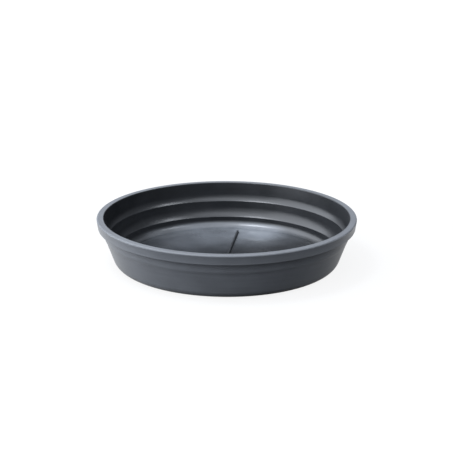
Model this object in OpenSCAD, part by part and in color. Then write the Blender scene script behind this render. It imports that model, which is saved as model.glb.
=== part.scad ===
// Round plant saucer: a deep moulded dish with a turned-down rim, two
// stepped ledges inside its wall and low ribs on its floor.
// Millimetres, +Z up, origin at the centre of the face it stands on.

/* [Rim] */
// Outside diameter of the rim
rim_d = 280; // [240:1:340]
// Width of the flat top of the rim
rim_w = 7.5; // [6.8:0.1:10]
// Thickness of the flat top of the rim
rim_t = 2.4; // [1.8:0.1:4]
// Radius of the outer top edge
rim_edge_r = 1.6; // [0.4:0.1:2.2]
// Radius of the inner top edge
rim_lip_r = 0.8; // [0.2:0.1:1.6]
// Height of the turned-down skirt, rim top included
skirt_h = 10.4; // [6:0.1:14]
// Thickness of the skirt
skirt_t = 1.9; // [1.2:0.1:2.6]
// Lean of the skirt, drawing in towards its lower edge, in degrees
skirt_lean = 8; // [0:0.5:12]

/* [Wall] */
// Overall height of the saucer
saucer_h = 52.5; // [46:0.5:80]
// Thickness of the moulded wall and floor
wall_t = 2.4; // [1.6:0.1:3]
// Lean of the straight stretches of the wall, in degrees from upright
wall_lean = 8; // [3:0.5:12]
// Height of the upper ledge's edge above the standing face
upper_ledge_z = 31.5; // [29:0.1:36]
// Height of the lower ledge's edge above the standing face
lower_ledge_z = 14.1; // [13.4:0.1:17]
// Radius of the hollow curve that runs into the upper ledge
upper_cove_r = 15; // [8:0.5:20]
// Radius of the hollow curve that runs into the lower ledge
lower_cove_r = 21; // [10:0.5:25]
// How far each hollow curve turns inwards, in degrees
cove_turn = 32.5; // [20:0.5:38]
// Height of the soft step outside above the upper ledge's edge
outer_step_lift = 2.3; // [0:0.1:4]
// Steepest lean of that step, in degrees from upright
outer_step_lean = 30; // [24:0.5:36]
// Radius of the round over the step
outer_round_r = 10; // [6:0.5:14]
// Radius of the hollow under the step
outer_blend_r = 14; // [8:0.5:20]

/* [Floor] */
// Inside radius between the wall and the floor
heel_r = 9.5; // [6:0.5:10]

/* [Ribs] */
// Distance from the middle to the inner end of a rib
rib_start = 14; // [6:1:40]
// Distance from the middle to the outer end of a rib
rib_end = 100; // [60:1:104]
// Thickness of a rib
rib_w = 2.4; // [1.6:0.1:5]
// Height of a rib above the floor
rib_h = 2.6; // [1:0.1:5]

/* [Hidden] */
$fn = 96;

anthracite = "#484c51";
arc_steps = 8;
// Height of the floor plate's upturned edge, where the lower wall begins
seam_lift = 0.4;
seam_z = wall_t + seam_lift;
flange_z = saucer_h - rim_t;
skirt_z = saucer_h - skirt_h;
rim_r = rim_d / 2;
nose_angle = wall_lean + cove_turn;

// Sections are drawn from the rim down, as [radius, height]. A heading is
// the angle from straight down, positive where it turns in to the axis.
function heading(angle) = [-sin(angle), -cos(angle)];
function outward(angle) = [cos(angle), -sin(angle)];
function slide_down(from, lean, drop) = from + heading(lean) * drop / cos(lean);
function arc_points(centre, radius, from, to) =
    [for (i = [0:arc_steps]) centre + radius * outward(from + (to - from) * i / arc_steps)];
function backwards(points) = [for (i = [len(points) - 1 : -1 : 0]) points[i]];

// Inside of the wall: each tier is a straight lean, then a hollow curve
function curve_drop(radius, end_angle) = radius * (sin(end_angle) - sin(wall_lean));
function curve_centre(bend, radius) = bend - outward(wall_lean) * radius;

rim_corner = [rim_r - rim_w, saucer_h];
upper_bend = slide_down(rim_corner, wall_lean,
                        saucer_h - upper_ledge_z - curve_drop(upper_cove_r, nose_angle));
upper_centre = curve_centre(upper_bend, upper_cove_r);
upper_nose = upper_centre + outward(nose_angle) * upper_cove_r;

lower_bend = slide_down(upper_nose, wall_lean,
                        upper_ledge_z - lower_ledge_z - curve_drop(lower_cove_r, nose_angle));
lower_centre = curve_centre(lower_bend, lower_cove_r);
lower_nose = lower_centre + outward(nose_angle) * lower_cove_r;

heel_bend = slide_down(lower_nose, wall_lean, lower_ledge_z - wall_t - curve_drop(heel_r, 90));
heel_centre = curve_centre(heel_bend, heel_r);

inside_points = concat(
    [rim_corner],
    arc_points(upper_centre, upper_cove_r, wall_lean, nose_angle),
    arc_points(lower_centre, lower_cove_r, wall_lean, nose_angle),
    arc_points(heel_centre, heel_r, wall_lean, 90));

// Outside of the wall: one thickness out under the rim and round the heel,
// with one soft step, and a plain lean from the step to the heel
outer_corner = rim_corner + [wall_t / cos(wall_lean), 0];
outer_bend = slide_down(outer_corner, wall_lean, saucer_h - upper_ledge_z - outer_step_lift);
round_centre = curve_centre(outer_bend, outer_round_r);
blend_centre = round_centre + outward(outer_step_lean) * (outer_round_r + outer_blend_r);
heel_to_blend = blend_centre - heel_centre;
outer_heel_r = heel_r + wall_t;
outer_lean = acos((outer_heel_r + outer_blend_r) / norm(heel_to_blend))
             - atan2(heel_to_blend[1], heel_to_blend[0]);

outside_points = concat(
    [outer_corner],
    arc_points(round_centre, outer_round_r, wall_lean, outer_step_lean),
    arc_points(blend_centre, -outer_blend_r, outer_step_lean, outer_lean),
    arc_points(heel_centre, outer_heel_r, outer_lean, 90));

// Half section of the dish, without the rim
module dish_section() {
    polygon(concat(inside_points, [[0, wall_t], [0, 0]], backwards(outside_points)));
}

// One ring of the dish, between two heights
module dish_band(low, high) {
    rotate_extrude() intersection() {
        dish_section();
        translate([0, low]) square([rim_r, high - low]);
    }
}

// Half section of the flat top with its rounded edges, and of the skirt
// that turns down from it
module rim_section() {
    lip_centre = rim_corner + rim_lip_r * [tan(45 - wall_lean / 2), -1];
    edge_centre = [rim_r, saucer_h] - rim_edge_r * [1, 1];
    edge_end = edge_centre + rim_edge_r * outward(skirt_lean);
    foot = slide_down(edge_end, skirt_lean, edge_end[1] - skirt_z);
    foot_inside = foot - [skirt_t / cos(skirt_lean), 0];
    root_inside = slide_down(foot_inside, skirt_lean, skirt_z - flange_z);
    polygon(concat(
        [slide_down(rim_corner, wall_lean, rim_t)],
        arc_points(lip_centre, -rim_lip_r, wall_lean, 90),
        arc_points(edge_centre, rim_edge_r, -90, skirt_lean),
        [foot, foot_inside, root_inside]));
}

module rim() {
    color(anthracite) rotate_extrude() rim_section();
}

module upper_wall() {
    color(anthracite) dish_band(upper_ledge_z, flange_z);
}

module middle_wall() {
    color(anthracite) dish_band(lower_ledge_z, upper_ledge_z);
}

module lower_wall() {
    color(anthracite) dish_band(seam_z, lower_ledge_z);
}

module floor_plate() {
    color(anthracite) dish_band(0, seam_z);
}

// One low rib with round ends, standing on the floor along a radius
module rib(angle) {
    end_r = rib_w / 2;
    run = rib_end - rib_start - rib_w;
    color(anthracite) rotate(angle) translate([rib_start + end_r, 0, wall_t])
        linear_extrude(rib_h) {
            circle(end_r);
            translate([0, -end_r]) square([run, rib_w]);
            translate([run, 0]) circle(end_r);
        }
}

module right_rib() { rib(0); }
module back_rib() { rib(90); }
module left_rib() { rib(180); }
module front_rib() { rib(270); }

rim();
upper_wall();
middle_wall();
lower_wall();
floor_plate();
right_rib();
back_rib();
left_rib();
front_rib();
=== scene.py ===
import math
from collections import namedtuple

import bpy
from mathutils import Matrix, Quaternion, Vector


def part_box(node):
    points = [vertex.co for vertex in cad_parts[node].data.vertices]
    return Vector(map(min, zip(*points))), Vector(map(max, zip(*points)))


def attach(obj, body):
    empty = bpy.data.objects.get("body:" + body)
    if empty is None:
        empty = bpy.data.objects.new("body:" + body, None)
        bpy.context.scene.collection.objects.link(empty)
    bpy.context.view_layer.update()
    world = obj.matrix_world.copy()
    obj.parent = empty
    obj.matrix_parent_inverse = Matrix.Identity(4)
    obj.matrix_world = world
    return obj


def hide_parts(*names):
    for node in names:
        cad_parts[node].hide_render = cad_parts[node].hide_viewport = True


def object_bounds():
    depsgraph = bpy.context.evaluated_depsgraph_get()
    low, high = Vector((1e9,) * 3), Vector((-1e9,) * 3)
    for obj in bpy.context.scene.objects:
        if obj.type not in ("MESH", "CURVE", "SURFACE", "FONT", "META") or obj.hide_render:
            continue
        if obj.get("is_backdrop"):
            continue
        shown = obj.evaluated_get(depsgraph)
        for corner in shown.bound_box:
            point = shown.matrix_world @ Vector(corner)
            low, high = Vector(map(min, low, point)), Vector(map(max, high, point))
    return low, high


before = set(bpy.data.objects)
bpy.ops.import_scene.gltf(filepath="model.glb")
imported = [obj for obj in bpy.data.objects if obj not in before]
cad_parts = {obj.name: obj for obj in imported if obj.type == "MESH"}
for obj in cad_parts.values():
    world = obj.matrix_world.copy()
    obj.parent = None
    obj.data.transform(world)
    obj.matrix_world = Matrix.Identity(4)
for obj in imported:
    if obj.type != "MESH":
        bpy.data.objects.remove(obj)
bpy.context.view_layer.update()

# Sizes taken from the frame, in metres
RIM_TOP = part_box("rim")[1].z
SKIRT_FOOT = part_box("rim")[0].z
FLANGE_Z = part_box("upper_wall")[1].z
UPPER_LEDGE_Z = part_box("upper_wall")[0].z
LOWER_LEDGE_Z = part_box("middle_wall")[0].z
SEAM_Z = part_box("floor_plate")[1].z
BASE_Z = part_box("floor_plate")[0].z
FLOOR_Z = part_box("right_rib")[0].z
RIM_RADIUS = max(math.hypot(v.co.x, v.co.y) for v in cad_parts["rim"].data.vertices)

# Sizes of the moulding's section, in metres and degrees, as in the solids
WALL = FLOOR_Z - BASE_Z
WALL_LEAN = 8.0
COVE_TURN = 32.5
UPPER_COVE = 0.015
LOWER_COVE = 0.021
OUTER_STEP_LIFT = 0.0023
OUTER_STEP_LEAN = 30.0
OUTER_ROUND = 0.010
OUTER_BLEND = 0.014
HEEL = 0.0095
RIM_WIDTH = 0.0075
RIM_EDGE = 0.0016
RIM_LIP = 0.0008
SKIRT = 0.0019
SKIRT_LEAN = 8.0

# Small roundings that only the looks need, in metres, and the ribs' draft in degrees
NOSE_ROUND = 0.0007
FOOT_ROUND = 0.0006
UNDER_FILLET = 0.001
RIB_FILLET = 0.0006
RIB_TOP_ROUND = 0.0010
RIB_DRAFT = 3.0

# Fineness of the meshes: degrees per step of an arc, steps round the axis and
# round a rib's end, rings of the floor, and when two places count as one
ARC_STEP = 3.0
TURNS = 192
RIB_END_TURNS = 16
FLOOR_RINGS = 10
PLACE_DIGITS = 7
SAME_PLACE = 1e-7

# Wear on the edges that get knocked, from 0 to 1
LIP_WEAR = 0.25
EDGE_WEAR = 1.0
NOSE_WEAR = 0.6
FOOT_WEAR = 0.5
RIB_WEAR = 0.35

# Finish of a strip of the surface: the share of polish that it carries
# Polish also takes a strip's colour towards the near-black of the inside, which is partly painted
# shade
MATT = 0.0
SATIN = 0.27
POLISHED = 1.0

# Sections are drawn as corners. A corner's place is (distance from the axis,
# height), its facing is the surface's own direction in degrees, 0 straight
# out and 90 straight up, and its wear goes from 0 to 1.
Corner = namedtuple("Corner", "place facing wear")


def towards(angle):
    """Unit vector in the section plane."""
    return Vector((math.cos(math.radians(angle)), math.sin(math.radians(angle))))


def arc(centre, radius, start, end, wear=0.0):
    """Corners along an arc that faces from start to end, most worn in its middle.

    A hollow arc has a negative radius.
    """
    steps = max(2, math.ceil(abs(end - start) / ARC_STEP))
    corners = []
    for i in range(steps + 1):
        facing = start + (end - start) * i / steps
        worn = wear * math.sin(math.pi * i / steps)
        corners.append(Corner(centre + towards(facing) * radius, facing, worn))
    return corners


def flat_run(start, end, facing, steps):
    """Corners along a flat stretch, both ends included."""
    return [Corner(start.lerp(end, i / steps), facing, 0.0) for i in range(steps + 1)]


def slide_down(place, lean, drop):
    """The place that lies a drop lower on a line that leans in to the axis."""
    return place - Vector((math.tan(math.radians(lean)), 1.0)) * drop


def tier(top, ledge_z, cove):
    """Centre of the hollow curve of a tier that starts at top, and the tier's nose at ledge_z."""
    nose_facing = WALL_LEAN + COVE_TURN
    curve_drop = cove * (math.sin(math.radians(nose_facing)) - math.sin(math.radians(WALL_LEAN)))
    bend = slide_down(top, WALL_LEAN, top.y - ledge_z - curve_drop)
    centre = bend - towards(-WALL_LEAN) * cove
    return centre, centre + towards(-nose_facing) * cove


def hollow_and_nose(centre, cove):
    """Inside of one tier: its hollow curve, then the rounded nose of its ledge."""
    reach = cove * math.cos(math.radians(COVE_TURN))
    turn = math.degrees(math.acos((NOSE_ROUND + reach) / (cove + NOSE_ROUND)))
    end = 180.0 - WALL_LEAN - turn
    nose_centre = centre - towards(end) * (cove + NOSE_ROUND)
    hollow = arc(centre, -cove, 180.0 - WALL_LEAN, end)
    return hollow + arc(nose_centre, NOSE_ROUND, end, 180.0 - WALL_LEAN, NOSE_WEAR)


def between(corners, low, high):
    """The stretch of a falling outline between two heights, cut cleanly at both."""
    kept = [corner for corner in corners if low <= corner.place.y <= high]
    for a, b in zip(corners, corners[1:]):
        for height in (high, low):
            if a.place.y > height > b.place.y:
                share = (a.place.y - height) / (a.place.y - b.place.y)
                facing = a.facing + (b.facing - a.facing) * share
                worn = a.wear + (b.wear - a.wear) * share
                kept.append(Corner(a.place.lerp(b.place, share), facing, worn))
    return sorted(kept, key=lambda corner: -corner.place.y)


# Inside of the saucer: the rim's lip, two tiers and the heel
rim_corner = Vector((RIM_RADIUS - RIM_WIDTH, RIM_TOP))
upper_centre, upper_nose = tier(rim_corner, UPPER_LEDGE_Z, UPPER_COVE)
lower_centre, lower_nose = tier(upper_nose, LOWER_LEDGE_Z, LOWER_COVE)
heel_drop = HEEL * (1.0 - math.sin(math.radians(WALL_LEAN)))
heel_bend = slide_down(lower_nose, WALL_LEAN, LOWER_LEDGE_Z - FLOOR_Z - heel_drop)
heel_centre = heel_bend - towards(-WALL_LEAN) * HEEL
lip_shift = math.tan(math.radians(45.0 - WALL_LEAN / 2.0))
lip_centre = rim_corner + RIM_LIP * Vector((lip_shift, -1.0))
lip = arc(lip_centre, RIM_LIP, 90.0, 180.0 - WALL_LEAN, LIP_WEAR)
inside = (
    lip
    + hollow_and_nose(upper_centre, UPPER_COVE)
    + hollow_and_nose(lower_centre, LOWER_COVE)
    + arc(heel_centre, -HEEL, 180.0 - WALL_LEAN, 90.0)
)

# Outside: a fillet and one soft step under the rim, then a plain lean to the heel
wall_corner = rim_corner + Vector((WALL / math.cos(math.radians(WALL_LEAN)), 0.0))
under_z = FLANGE_Z - UNDER_FILLET
under_line = slide_down(wall_corner, WALL_LEAN, wall_corner.y - under_z)
under_centre = under_line + Vector((UNDER_FILLET / math.cos(math.radians(WALL_LEAN)), 0.0))
outer_bend = slide_down(wall_corner, WALL_LEAN, RIM_TOP - UPPER_LEDGE_Z - OUTER_STEP_LIFT)
round_centre = outer_bend - towards(-WALL_LEAN) * OUTER_ROUND
blend_centre = round_centre + towards(-OUTER_STEP_LEAN) * (OUTER_ROUND + OUTER_BLEND)
heel_to_blend = blend_centre - heel_centre
line_turn = math.acos((HEEL + WALL + OUTER_BLEND) / heel_to_blend.length)
outer_lean = math.degrees(line_turn - math.atan2(heel_to_blend.y, heel_to_blend.x))
outside = (
    arc(under_centre, -UNDER_FILLET, -90.0, -WALL_LEAN)
    + arc(round_centre, OUTER_ROUND, -WALL_LEAN, -OUTER_STEP_LEAN)
    + arc(blend_centre, -OUTER_BLEND, -OUTER_STEP_LEAN, -outer_lean)
    + arc(heel_centre, HEEL + WALL, -outer_lean, -90.0)
)


def skirt_outline():
    """The skirt, and the rim's outer top edge.

    The skirt goes from under the rim's flat top down its inside, round its
    foot and up.
    """
    lean_share = math.cos(math.radians(SKIRT_LEAN))
    edge_centre = Vector((RIM_RADIUS, RIM_TOP)) - Vector((RIM_EDGE, RIM_EDGE))
    edge_end = edge_centre + towards(-SKIRT_LEAN) * RIM_EDGE
    foot_z = SKIRT_FOOT + FOOT_ROUND
    foot_line = slide_down(edge_end, SKIRT_LEAN, edge_end.y - foot_z)
    foot_outer = foot_line - Vector((FOOT_ROUND / lean_share, 0.0))
    foot_inner = foot_line - Vector(((SKIRT - FOOT_ROUND) / lean_share, 0.0))
    root_line = slide_down(edge_end, SKIRT_LEAN, edge_end.y - under_z)
    root_centre = root_line - Vector(((SKIRT + UNDER_FILLET) / lean_share, 0.0))
    skirt = (
        arc(root_centre, -UNDER_FILLET, -90.0, -180.0 - SKIRT_LEAN)
        + arc(foot_inner, FOOT_ROUND, -180.0 - SKIRT_LEAN, -90.0, FOOT_WEAR)
        + arc(foot_outer, FOOT_ROUND, -90.0, -SKIRT_LEAN, FOOT_WEAR)
    )
    return skirt, arc(edge_centre, RIM_EDGE, -SKIRT_LEAN, 90.0, EDGE_WEAR)


def section_edges(strips, finishes):
    """Edges round a closed section, each as two ends of (corner, facing, finish).

    Strips that don't touch are joined by a flat edge.
    """
    edges = []
    following = zip(strips[1:] + strips[:1], finishes[1:] + finishes[:1])
    for strip, finish, (next_strip, next_finish) in zip(strips, finishes, following):
        for a, b in zip(strip, strip[1:]):
            edges.append(((a, a.facing, finish), (b, b.facing, finish)))
        gap = next_strip[0].place - strip[-1].place
        if gap.length > SAME_PLACE:
            facing = math.degrees(math.atan2(-gap.x, gap.y))
            edges.append(((strip[-1], facing, finish), (next_strip[0], facing, next_finish)))
    return edges


def sweep(name, strips, finishes, stations):
    """A closed mesh: a section of smooth strips, each with its finish, carried round stations.

    A station is an origin in plan and an angle in radians. The mesh carries
    wear and polish at its vertices.
    """
    numbers, places, wear, polish, faces, normals = {}, [], [], [], [], []

    def vertex(end, station):
        """Number of the vertex of an edge's end at a station, which is made if it is new."""
        corner, _, finish = end
        origin, angle = station
        x = origin.x + corner.place.x * math.cos(angle)
        y = origin.y + corner.place.x * math.sin(angle)
        place = (x, y, corner.place.y)
        key = tuple(round(c, PLACE_DIGITS) for c in place)
        if key not in numbers:
            numbers[key] = len(places)
            places.append(place)
            wear.append(corner.wear)
            polish.append(finish)
        return numbers[key]

    def normal(end, station):
        """Direction of the surface at an edge's end and a station."""
        out = towards(end[1])
        angle = station[1]
        return (out.x * math.cos(angle), out.x * math.sin(angle), out.y)

    edges = section_edges(strips, finishes)
    for here, there in zip(stations, stations[1:] + stations[:1]):
        for first, second in edges:
            loop = {}
            for end, station in ((first, here), (first, there), (second, there), (second, here)):
                loop.setdefault(vertex(end, station), normal(end, station))
            if len(loop) > 2:
                faces.append(list(loop))
                normals += loop.values()

    mesh = bpy.data.meshes.new(name)
    mesh.from_pydata(places, [], faces)
    mesh.shade_smooth()
    mesh.normals_split_custom_set(normals)
    mesh.attributes.new("wear", "FLOAT", "POINT").data.foreach_set("value", wear)
    mesh.attributes.new("polish", "FLOAT", "POINT").data.foreach_set("value", polish)
    piece = bpy.data.objects.new(name, mesh)
    bpy.context.scene.collection.objects.link(piece)
    return piece


class Shading:
    """Adds nodes to a node tree. A value is a socket, a number, a vector or a colour."""

    def __init__(self, tree):
        self.nodes = tree.nodes
        self.links = tree.links

    def feed(self, socket, value):
        """Links a socket to another one, or sets it."""
        if isinstance(value, bpy.types.NodeSocket):
            self.links.new(value, socket)
        else:
            socket.default_value = value

    def coordinates(self, kind):
        """Texture coordinates of one kind."""
        return self.nodes.new("ShaderNodeTexCoord").outputs[kind]

    def attribute(self, name):
        """A number that the mesh carries at its vertices."""
        node = self.nodes.new("ShaderNodeAttribute")
        node.attribute_name = name
        return node.outputs["Fac"]

    def noise(self, vector, scale, detail=2.0, roughness=0.5, output="Fac"):
        """A noise texture."""
        node = self.nodes.new("ShaderNodeTexNoise")
        self.feed(node.inputs["Vector"], vector)
        node.inputs["Scale"].default_value = scale
        node.inputs["Detail"].default_value = detail
        node.inputs["Roughness"].default_value = roughness
        return node.outputs[output]

    def spread(self, value, to_range, from_range=(0.0, 1.0)):
        """A number spread linearly from one range to another, clamped."""
        node = self.nodes.new("ShaderNodeMapRange")
        self.feed(node.inputs["Value"], value)
        for word, (low, high) in (("From", from_range), ("To", to_range)):
            node.inputs[word + " Min"].default_value = low
            node.inputs[word + " Max"].default_value = high
        return node.outputs["Result"]

    def maths(self, operation, first, *others):
        """Numbers joined by one operation, from left to right."""
        result = first
        for value in others:
            node = self.nodes.new("ShaderNodeMath")
            node.operation = operation
            self.feed(node.inputs[0], result)
            self.feed(node.inputs[1], value)
            result = node.outputs["Value"]
        return result

    def vectors(self, operation, first, second=None):
        """One operation on vectors."""
        node = self.nodes.new("ShaderNodeVectorMath")
        node.operation = operation
        self.feed(node.inputs[0], first)
        if second is not None:
            self.feed(node.inputs[1], second)
        gives_number = operation in ("LENGTH", "DOT_PRODUCT")
        return node.outputs["Value" if gives_number else "Vector"]

    def mix(self, share, first, second, kind="RGBA"):
        """Two colours mixed by a share, or two numbers where the kind is FLOAT."""
        node = self.nodes.new("ShaderNodeMix")
        node.data_type = kind
        for name, value in (("Factor", share), ("A", first), ("B", second)):
            self.feed(node.inputs[name], value)
        return node.outputs["Result"]

    def mapped(self, vector, scale, turn=0.0, shift=(0.0, 0.0, 0.0)):
        """Coordinates scaled, turned by degrees about the upright axis and shifted."""
        node = self.nodes.new("ShaderNodeMapping")
        self.feed(node.inputs["Vector"], vector)
        node.inputs["Scale"].default_value = scale
        node.inputs["Rotation"].default_value = (0.0, 0.0, math.radians(turn))
        node.inputs["Location"].default_value = shift
        return node.outputs["Vector"]

    def along(self, vector, way):
        """How far a vector goes along a way."""
        return self.vectors("DOT_PRODUCT", vector, Vector(way).normalized())

    def height(self, vector):
        """The upright share of a vector."""
        return self.along(vector, (0.0, 0.0, 1.0))

    def level(self, vector):
        """The level share of a vector, as a vector."""
        return self.vectors("MULTIPLY", vector, (1.0, 1.0, 0.0))

    def reach(self, vector):
        """Distance from the upright axis."""
        return self.vectors("LENGTH", self.level(vector))


# Colours of the plastic, of its worn edges and of what lies on it
MATT_DARK = (0.105, 0.109, 0.1155, 1.0)
MATT_LIGHT = (0.1235, 0.128, 0.1355, 1.0)
# Polished inside colours, near-black: partly the look of its gloss, partly painted shade of the
# inside
POLISHED_SHADE_DARK = (0.0052, 0.0058, 0.0068, 1.0)
POLISHED_SHADE_LIGHT = (0.0078, 0.0086, 0.0101, 1.0)
WORN = (0.070, 0.075, 0.083, 1.0)
DUST = (0.14, 0.14, 0.14, 1.0)
# Pale film colour: partly a dried film, partly painted light on the floor
FILM_AND_PAINTED_LIGHT = (0.142, 0.151, 0.163, 1.0)

# Mottling and streaks: the ranges of their sum that set the tone and the gloss,
# the share of the streaks in the gloss, and the roughness of the matt plastic
MOTTLE_SCALE = 45.0
TONE_RANGE = (0.7, 1.3)
GLOSS_RANGE = (0.55, 1.05)
GLOSS_STREAKS = 0.6
MATT_ROUGHNESS = (0.32, 0.39)

# Rubbing of the worn edges, and how much it dulls them
RUBBING_SCALE = 320.0
RUBBING_DETAIL = 5.0
RUBBING_ROUGHNESS = 0.7
RUBBING_RANGE = (0.42, 0.68)
WEAR_DULLING = 0.3

# Scuffs: the ways they lie, in degrees, their shape, where they are, and their strength
SCUFF_TURNS = (20.0, 115.0)
SCUFF_STRETCH = (14.0, 420.0, 14.0)
SCUFF_LINES = (0.66, 0.72)
SCUFF_AREA_SCALE = 26.0
SCUFF_AREAS = (0.52, 0.62)
SCUFF_SHARE = 0.25
SCUFF_DULLING = 0.08

# Specks of dust: cells per metre, where a speck fades out within its cell, and
# the range of a cell's random number over which a speck appears
SPECK_SCALE = 75.0
SPECK_REACH = (0.03, 0.07)
SPECK_CELLS = (0.70, 0.95)

# The pale film is partly a dried film and partly painted light: it brightens the back of the floor
# and paints a pool of light beside the back rib
# Film and painted light: it ends at a height in metres and where the surface stands up, and it is
# uneven
FILM_AND_LIGHT_HEIGHT = (0.0065, 0.0105)
FILM_AND_LIGHT_LYING = (0.15, 0.5)
FILM_AND_LIGHT_MOTTLE = (0.3, 0.7)
FILM_AND_LIGHT_UNEVENNESS = (0.85, 1.15)
WANDER_SCALE = 22.0
WANDER_REACH = 0.025
PATCH_CORE = 0.3

# Patches of film and painted light: middle, width and depth in metres, and share
FILM_AND_LIGHT_PATCHES = [
    (-0.018, 0.105, 0.108, 0.078, 0.50),
    (0.026, 0.098, 0.036, 0.030, 0.50),
    (-0.062, 0.036, 0.062, 0.050, 0.15),
    (0.060, -0.065, 0.060, 0.050, 0.20),
    (-0.070, -0.060, 0.050, 0.060, 0.16),
]

# Fine grain of the surface, its depth in metres
GRAIN_SCALE = 1500.0
GRAIN_DEPTH = 0.0002
MATT_GRAIN = 0.14
POLISHED_GRAIN = 0.02


def round_coordinates(shading, place, around, outwards):
    """Coordinates without a seam, with a rate round the axis and a rate along the radius."""
    unit = shading.vectors("NORMALIZE", shading.level(place))
    ring = shading.vectors("MULTIPLY", unit, (around,) * 3)
    lift = shading.nodes.new("ShaderNodeCombineXYZ")
    shading.feed(lift.inputs["Z"], shading.maths("MULTIPLY", shading.reach(place), outwards))
    return shading.vectors("ADD", ring, lift.outputs["Vector"])


def scuff_lines(shading, place, turn):
    """Thin scratches that lie one way, here and there."""
    stretched = shading.mapped(place, SCUFF_STRETCH, turn)
    lines = shading.spread(shading.noise(stretched, 1.0), (0.0, 1.0), SCUFF_LINES)
    areas = shading.noise(place, SCUFF_AREA_SCALE, detail=1.0)
    return shading.maths("MULTIPLY", lines, shading.spread(areas, (0.0, 1.0), SCUFF_AREAS))


def dust_specks(shading, place):
    """Small specks of dust, far apart."""
    cells = shading.nodes.new("ShaderNodeTexVoronoi")
    cells.inputs["Scale"].default_value = SPECK_SCALE
    shading.feed(cells.inputs["Vector"], place)
    dots = shading.spread(cells.outputs["Distance"], (1.0, 0.0), SPECK_REACH)
    split = shading.nodes.new("ShaderNodeSeparateColor")
    shading.feed(split.inputs["Color"], cells.outputs["Color"])
    chosen = shading.spread(split.outputs["Red"], (0.0, 1.0), SPECK_CELLS)
    return shading.maths("MULTIPLY", dots, chosen)


def wandering(shading, place):
    """Places shifted about a little, so that what is drawn on them has uneven edges."""
    drift = shading.noise(place, WANDER_SCALE, output="Color")
    drift = shading.vectors("SUBTRACT", drift, (0.5, 0.5, 0.5))
    drift = shading.vectors("MULTIPLY", drift, (WANDER_REACH,) * 3)
    return shading.vectors("ADD", place, drift)


def film_and_light_patch(shading, place, x, y, width, depth, share):
    """A soft patch on the floor, strongest at its middle."""
    scale = (1.0 / width, 1.0 / depth, 0.0)
    scaled = shading.mapped(place, scale, shift=(-x / width, -y / depth, 0.0))
    return shading.spread(shading.reach(scaled), (share, 0.0), (PATCH_CORE, 1.0))


def film_and_painted_light(shading, place, mottle):
    """Patches of dried water film and of painted light, on what lies flat at the saucer's bottom.
    """
    shifted = wandering(shading, place)
    patches = [film_and_light_patch(shading, shifted, *patch) for patch in FILM_AND_LIGHT_PATCHES]
    near_floor = shading.spread(shading.height(place), (1.0, 0.0), FILM_AND_LIGHT_HEIGHT)
    facing = shading.nodes.new("ShaderNodeNewGeometry").outputs["Normal"]
    lying = shading.spread(shading.height(facing), (0.0, 1.0), FILM_AND_LIGHT_LYING)
    unevenness = shading.spread(mottle, FILM_AND_LIGHT_UNEVENNESS, FILM_AND_LIGHT_MOTTLE)
    film_and_light = shading.maths("ADD", *patches)
    return shading.maths("MULTIPLY", film_and_light, near_floor, lying, unevenness)


def moulded_plastic(name, polished_roughness, shine, streaks, scuffing, film_and_light_share, dusting):
    """Anthracite plastic, matt or glossy as the mesh says, with grain and streaks.

    Shine is the specular level. Streaks are the rates of round_coordinates.
    Scuffing and dusting are shares of the scuffs and the dust; the film share is that of the film
    and its painted light.
    """
    material = bpy.data.materials.new(name)
    material.use_nodes = True
    shading = Shading(material.node_tree)
    shader = shading.nodes["Principled BSDF"]
    place = shading.coordinates("Object")
    polish = shading.attribute("polish")
    wear = shading.attribute("wear")
    mottle = shading.noise(place, MOTTLE_SCALE)
    streak = shading.noise(round_coordinates(shading, place, *streaks), 1.0)
    scuffs = shading.maths("MAXIMUM", *[scuff_lines(shading, place, turn) for turn in SCUFF_TURNS])
    scuffs = shading.maths("MULTIPLY", scuffs, scuffing)

    tone = shading.spread(shading.maths("ADD", mottle, streak), (0.0, 1.0), TONE_RANGE)
    matt = shading.mix(tone, MATT_DARK, MATT_LIGHT)
    # The polished inside takes a near-black colour that is partly painted shade
    polished_and_shade = shading.mix(tone, POLISHED_SHADE_DARK, POLISHED_SHADE_LIGHT)
    # Film on the polished floor: partly a dried film, partly painted light
    film_and_light = shading.maths("MULTIPLY", film_and_painted_light(shading, place, mottle), film_and_light_share)
    polished_and_shade = shading.mix(film_and_light, polished_and_shade, FILM_AND_PAINTED_LIGHT)
    colour = shading.mix(polish, matt, polished_and_shade)
    rubbing = shading.noise(place, RUBBING_SCALE, RUBBING_DETAIL, RUBBING_ROUGHNESS)
    rubbed = shading.maths("MULTIPLY", wear, shading.spread(rubbing, (0.0, 1.0), RUBBING_RANGE))
    scuffed = shading.maths("MULTIPLY", scuffs, SCUFF_SHARE)
    colour = shading.mix(shading.maths("MAXIMUM", rubbed, scuffed), colour, WORN)
    dust = shading.maths("MULTIPLY", dust_specks(shading, place), polish, dusting)
    colour = shading.mix(dust, colour, DUST)
    shading.feed(shader.inputs["Base Color"], colour)

    gloss = shading.maths("ADD", shading.maths("MULTIPLY", streak, GLOSS_STREAKS), mottle)
    rough = shading.spread(gloss, MATT_ROUGHNESS, GLOSS_RANGE)
    smooth = shading.spread(gloss, polished_roughness, GLOSS_RANGE)
    roughness = shading.mix(polish, rough, smooth, "FLOAT")
    scuff_dulling = shading.maths("MULTIPLY", scuffs, SCUFF_DULLING)
    wear_dulling = shading.maths("MULTIPLY", wear, WEAR_DULLING)
    roughness = shading.maths("ADD", roughness, scuff_dulling, wear_dulling)
    shading.feed(shader.inputs["Roughness"], roughness)
    shader.inputs["Specular IOR Level"].default_value = shine

    bump = shading.nodes.new("ShaderNodeBump")
    bump.inputs["Distance"].default_value = GRAIN_DEPTH
    shading.feed(bump.inputs["Strength"], shading.spread(polish, (MATT_GRAIN, POLISHED_GRAIN)))
    shading.feed(bump.inputs["Height"], shading.noise(place, GRAIN_SCALE))
    shading.feed(shader.inputs["Normal"], bump.outputs["Normal"])
    return material


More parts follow.
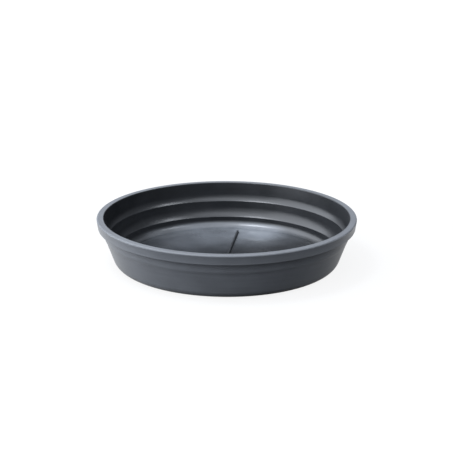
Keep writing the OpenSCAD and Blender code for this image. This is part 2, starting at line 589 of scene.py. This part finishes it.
wall_plastic = moulded_plastic(
    "wall_plastic",
    polished_roughness=(0.28, 0.34),
    shine=0.48,
    streaks=(2.0, 900.0),
    scuffing=0.15,
    film_and_light_share=1.0,
    dusting=0.0,
)
floor_plastic = moulded_plastic(
    "floor_plastic",
    polished_roughness=(0.16, 0.20),
    shine=0.35,
    streaks=(3.0, 60.0),
    scuffing=0.3,
    film_and_light_share=1.0,
    dusting=1.0,
)
# The ribs take little of the film, so they stay near-black and paint in the shade along their
# sides as a dark line
rib_plastic = moulded_plastic(
    "rib_plastic",
    polished_roughness=(0.55, 0.62),
    shine=0.2,
    streaks=(3.0, 60.0),
    scuffing=0.3,
    film_and_light_share=0.15,
    dusting=1.0,
)


def place_piece(piece, node, material):
    """Gives a piece its material, and lets it ride on the saucer in a node's place."""
    piece.data.materials.append(material)
    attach(piece, "root")
    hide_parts(node)


# Stations all round the saucer's axis
RING = [(Vector((0.0, 0.0)), 2.0 * math.pi * i / TURNS) for i in range(TURNS)]

# Rim
skirt, top_edge = skirt_outline()
rim_inside = between(inside, FLANGE_Z, lip[-1].place.y)
rim_strips = [skirt, top_edge + lip[:1], lip + rim_inside]
rim = sweep("saucer_rim", rim_strips, [MATT, SATIN, POLISHED], RING)
place_piece(rim, "rim", wall_plastic)

# Walls, each a ring between two heights
WALL_RINGS = {
    "upper_wall": (UPPER_LEDGE_Z, FLANGE_Z),
    "middle_wall": (LOWER_LEDGE_Z, UPPER_LEDGE_Z),
    "lower_wall": (SEAM_Z, LOWER_LEDGE_Z),
}
for node, (low, high) in WALL_RINGS.items():
    wall_strips = [between(inside, low, high), between(outside, low, high)[::-1]]
    wall = sweep("saucer_" + node, wall_strips, [POLISHED, MATT], RING)
    place_piece(wall, node, wall_plastic)

# Floor
floor_edge = between(inside, FLOOR_Z, SEAM_Z)
floor_middle = Vector((0.0, FLOOR_Z))
floor_top = floor_edge[:-1] + flat_run(floor_edge[-1].place, floor_middle, 90.0, FLOOR_RINGS)
base_edge = between(outside, BASE_Z, SEAM_Z)[::-1]
base_middle = Vector((0.0, BASE_Z))
floor_base = flat_run(base_middle, base_edge[0].place, -90.0, FLOOR_RINGS) + base_edge[1:]
saucer_floor = sweep("saucer_floor", [floor_top, floor_base], [POLISHED, MATT], RING)
place_piece(saucer_floor, "floor_plate", floor_plastic)


# Ribs, each with round ends, a little draft, a rounded top and a fillet along its foot
def rib_stations(node):
    """Stations round a rib's plan, its half width and the height of its top."""
    low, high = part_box(node)
    centre = Vector(((low.x + high.x) / 2.0, (low.y + high.y) / 2.0))
    width = min(high.x - low.x, high.y - low.y)
    length = max(high.x - low.x, high.y - low.y)
    bearing = math.atan2(centre.y, centre.x)
    along = Vector((math.cos(bearing), math.sin(bearing))) * (length - width) / 2.0
    outer_end = (centre + along, bearing - math.pi / 2.0)
    inner_end = (centre - along, bearing + math.pi / 2.0)
    stations = []
    for origin, start in (outer_end, inner_end):
        for i in range(RIB_END_TURNS + 1):
            stations.append((origin, start + math.pi * i / RIB_END_TURNS))
    return stations, width / 2.0, high.z


def rib_outline(half_width, top):
    """Half section of a rib, from the floor up its side to the middle of its top."""
    foot_centre = Vector((half_width + RIB_FILLET, FLOOR_Z + RIB_FILLET))
    draft = math.tan(math.radians(RIB_DRAFT)) * (top - FLOOR_Z)
    top_centre = Vector((half_width - draft - RIB_TOP_ROUND, top - RIB_TOP_ROUND))
    foot = arc(foot_centre, -RIB_FILLET, 90.0, RIB_DRAFT)
    shoulder = arc(top_centre, RIB_TOP_ROUND, RIB_DRAFT, 90.0, RIB_WEAR)
    return foot + shoulder + [Corner(Vector((0.0, top)), 90.0, 0.0)]


for node in ("right_rib", "back_rib", "left_rib", "front_rib"):
    stations, half_width, top = rib_stations(node)
    underside = [Corner(Vector((0.0, FLOOR_Z)), -90.0, 0.0)]
    rib_strips = [rib_outline(half_width, top), underside]
    rib = sweep("saucer_" + node, rib_strips, [POLISHED, POLISHED], stations)
    place_piece(rib, node, rib_plastic)

# Ground: a pale sheet that shows white and keeps the saucer's shadow. Its glow
# grows away from the saucer. The share of it that is mirrored grows along a way.
WHITE = (1.0, 1.0, 1.0, 1.0)
GROUND_REACH = 6.0
GROUND_COLOUR = (0.06, 0.06, 0.06, 1.0)
GROUND_GLOW = (0.87, 1.0)
GLOW_REACH = (0.3, 1.2)
MIRRORED_GROUND = (0.0, 1.0)
MIRRORED_WAY = (-0.30, 0.95, 0.0)
MIRRORED_REACH = (-0.13, 0.05)


def seen_share(shading, mirrored_share):
    """1 for the camera and for a look through glass, a share in a reflection.

    It is 0 for light that bounces about.
    """
    rays = shading.nodes.new("ShaderNodeLightPath").outputs
    mirrored = shading.maths("MULTIPLY", rays["Is Glossy Ray"], mirrored_share)
    return shading.maths("MAXIMUM", rays["Is Camera Ray"], rays["Is Transmission Ray"], mirrored)


def ground_material():
    """Matt sheet that is lifted to white where it is seen."""
    material = bpy.data.materials.new("pale_ground")
    material.use_nodes = True
    shading = Shading(material.node_tree)
    sheet = shading.nodes["Principled BSDF"]
    sheet.inputs["Base Color"].default_value = GROUND_COLOUR
    sheet.inputs["Specular IOR Level"].default_value = 0.0
    sheet.inputs["Roughness"].default_value = 1.0
    sheet.inputs["Emission Color"].default_value = WHITE
    place = shading.coordinates("Object")
    glow = shading.spread(shading.reach(place), GROUND_GLOW, GLOW_REACH)
    mirrored = shading.spread(shading.along(place, MIRRORED_WAY), MIRRORED_GROUND, MIRRORED_REACH)
    lift = shading.maths("MULTIPLY", seen_share(shading, mirrored), glow)
    shading.feed(sheet.inputs["Emission Strength"], lift)
    return material


ground_mesh = bpy.data.meshes.new("ground")
ground_corners = [
    (-GROUND_REACH, -GROUND_REACH, BASE_Z),
    (GROUND_REACH, -GROUND_REACH, BASE_Z),
    (GROUND_REACH, GROUND_REACH, BASE_Z),
    (-GROUND_REACH, GROUND_REACH, BASE_Z),
]
ground_mesh.from_pydata(ground_corners, [], [(0, 1, 2, 3)])
ground_mesh.materials.append(ground_material())
ground = bpy.data.objects.new("ground", ground_mesh)
bpy.context.scene.collection.objects.link(ground)
ground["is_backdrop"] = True

# World: white where it is seen, and a soft, slightly cool dome of light that
# grows towards its axis
DOME_TINT = (0.91, 0.985, 1.11, 1.0)
DOME_AXIS = (-0.40, -0.14, 0.90)
DOME_LIGHT = (0.05, 2.4)
DOME_HEIGHT = (0.10, 0.85)
MIRRORED_WORLD = 0.3

world = bpy.data.worlds.new("studio")
world.use_nodes = True
bpy.context.scene.world = world
sky = Shading(world.node_tree)
backdrop = sky.nodes["Background"]
sky_seen = seen_share(sky, MIRRORED_WORLD)
dome = sky.spread(sky.along(sky.coordinates("Generated"), DOME_AXIS), DOME_LIGHT, DOME_HEIGHT)
sky.feed(backdrop.inputs["Color"], sky.mix(sky_seen, DOME_TINT, WHITE))
sky.feed(backdrop.inputs["Strength"], sky.maths("MAXIMUM", sky_seen, dome))

# Softboxes: name, azimuth and elevation in degrees, distance, width and height
# in metres, and brightness. Azimuth 0 is +X and 90 is +Y.
LAMP_TINT = (0.94, 0.99, 1.07)
SOFTBOXES = [
    ("key_softbox", 217.0, 68.0, 1.3, 0.32, 0.32, 37.0),
    ("left_softbox", 186.0, 28.0, 1.4, 2.20, 1.50, 2.6),
    ("left_strip", 184.0, 1.0, 1.4, 1.20, 0.05, 34.0),
    ("right_strip", 25.0, 1.0, 1.4, 0.80, 0.05, 20.0),
    ("front_softbox", 278.0, 48.0, 1.4, 1.60, 0.50, 1.8),
    ("right_softbox", 356.0, 50.0, 1.3, 0.30, 0.30, 13.0),
]


def direction(azimuth, elevation):
    """Unit vector towards an azimuth and an elevation in degrees."""
    turn, lift = math.radians(azimuth), math.radians(elevation)
    level = math.cos(lift)
    return Vector((math.cos(turn) * level, math.sin(turn) * level, math.sin(lift)))


def softbox(name, azimuth, elevation, distance, width, height, brightness):
    """A soft light that looks at the saucer, as bright as white times its brightness."""
    lamp = bpy.data.lights.new(name, "AREA")
    lamp.shape = "RECTANGLE"
    lamp.size = width
    lamp.size_y = height
    lamp.color = LAMP_TINT
    lamp.energy = math.pi * width * height * brightness
    light = bpy.data.objects.new(name, lamp)
    away = direction(azimuth, elevation)
    light.location = away * distance
    light.rotation_mode = "QUATERNION"
    light.rotation_quaternion = (-away).to_track_quat("-Z", "Y")
    bpy.context.scene.collection.objects.link(light)


for box in SOFTBOXES:
    softbox(*box)

# Camera: stands off from the middle of the rim, aimed a little below it. Its
# angles are in degrees, its lens and sensor in millimetres.
CAMERA_DISTANCE = 1.54
CAMERA_AZIMUTH = 277.3
CAMERA_ELEVATION = 16.742
CAMERA_TILT = -0.458
CAMERA_PAN = 0.008
CAMERA_ROLL = 0.174
CAMERA_LENS = 113.43
SENSOR_WIDTH = 36.0

lens = bpy.data.cameras.new("camera")
lens.lens = CAMERA_LENS
lens.sensor_width = SENSOR_WIDTH
camera = bpy.data.objects.new("camera", lens)
back = direction(CAMERA_AZIMUTH, CAMERA_ELEVATION)
camera.location = Vector((0.0, 0.0, RIM_TOP)) + back * CAMERA_DISTANCE
aim = (-back).to_track_quat("-Z", "Y")
for axis, angle in (((1, 0, 0), CAMERA_TILT), ((0, 1, 0), CAMERA_PAN), ((0, 0, 1), CAMERA_ROLL)):
    aim = aim @ Quaternion(axis, math.radians(angle))
camera.rotation_mode = "QUATERNION"
camera.rotation_quaternion = aim
bpy.context.scene.collection.objects.link(camera)
bpy.context.scene.camera = camera

bpy.context.scene.view_settings.view_transform = "Standard"

low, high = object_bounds()
